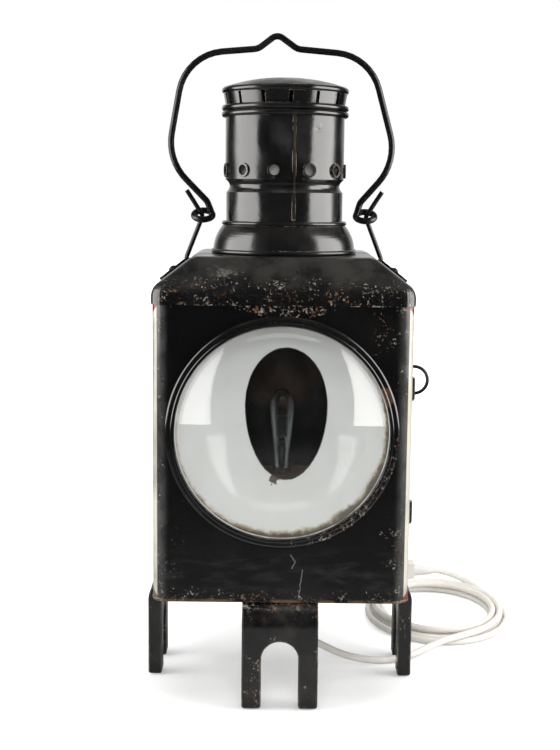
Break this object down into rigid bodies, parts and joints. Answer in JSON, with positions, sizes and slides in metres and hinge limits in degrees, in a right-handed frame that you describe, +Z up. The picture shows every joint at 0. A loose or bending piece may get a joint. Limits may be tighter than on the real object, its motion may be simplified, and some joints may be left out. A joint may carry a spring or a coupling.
{
  "type": "railway signal lamp",
  "caption": "Sheet-steel railway signal lamp on forked feet, with a domed front lens, bowl reflector, vented chimney, carrying bail, hinged side door and mains cord.",
  "frame": {"origin": "on the ground, under the lamp's upright axis", "axes": "+Z up, the lens faces -Y, the hinged door is on the +X side"},
  "size_m": [0.2792, 0.3388, 0.4486],
  "materials": {
    "black_paint": "worn gloss black paint, chipped at the edges",
    "casing_paint": "worn gloss black front and back, cream and red painted sides",
    "cream_paint": "cream paint with red triangles",
    "bare_steel": "dull",
    "rusty_sheet": "rusted",
    "white_enamel": "glossy enamel, chipped",
    "lens_clear": "polished",
    "bulb_clear": "polished",
    "brass_metal": "tarnished",
    "bakelite": "dark moulded",
    "black_rubber": "matt",
    "white_cord": "smooth sheath",
    "white_plastic": "moulded"
  },
  "bodies": {
    "lamp": {"casing": "casing_paint", "base_plate": "black_paint", "front_fork": "black_paint", "rear_fork": "black_paint", "left_fork": "black_paint", "right_fork": "black_paint", "fork_rivets": "bare_steel", "roof": "black_paint", "inner_flue": "rusty_sheet", "chimney_base": "black_paint", "chimney_tube": "black_paint", "chimney_cap": "black_paint", "left_post": "black_paint", "right_post": "black_paint", "post_rivets": "bare_steel", "lens_gasket": "black_rubber", "lens_glass": "lens_clear", "lens_ring": "black_paint", "reflector": "white_enamel", "reflector_clips": "bare_steel", "lamp_stand": "rusty_sheet", "stand_bolts": "bare_steel", "lampholder": "bakelite", "bulb_cap": "brass_metal", "bulb_glass": "bulb_clear", "bulb_mount": "bare_steel", "inner_lead": "white_cord", "cable_gland": "white_plastic", "gland_nut": "bare_steel", "door_frame": "black_paint", "casing_hinges": "black_paint", "hinge_pins": "bare_steel", "cord_lead": "white_cord", "cord_coil": "white_cord", "cord_tail": "white_cord", "plug_body": "white_plastic", "plug_pins": "bare_steel"},
    "door": {"door_panel": "cream_paint", "door_hinges": "black_paint", "latch_bush": "brass_metal"},
    "latch": {"latch_spindle": "bare_steel", "latch_ring": "black_paint", "latch_tongue": "bare_steel"},
    "bail": {"bail": "black_paint"}
  },
  "joints": [
    {"name": "door_hinge", "type": "hinge", "parent": "lamp", "child": "door", "pos_m": [0.08745, -0.05, 0.1675], "axis": [0, 0, -1], "range_deg": [0, 110]},
    {"name": "latch_turn", "type": "hinge", "parent": "door", "child": "latch", "pos_m": [0.0853, 0.055, 0.201], "axis": [1, 0, 0], "range_deg": [0, 90]},
    {"name": "bail_swing", "type": "hinge", "parent": "lamp", "child": "bail", "pos_m": [0, 0, 0.324], "axis": [1, 0, 0], "range_deg": [-65, 10]}
  ]
}
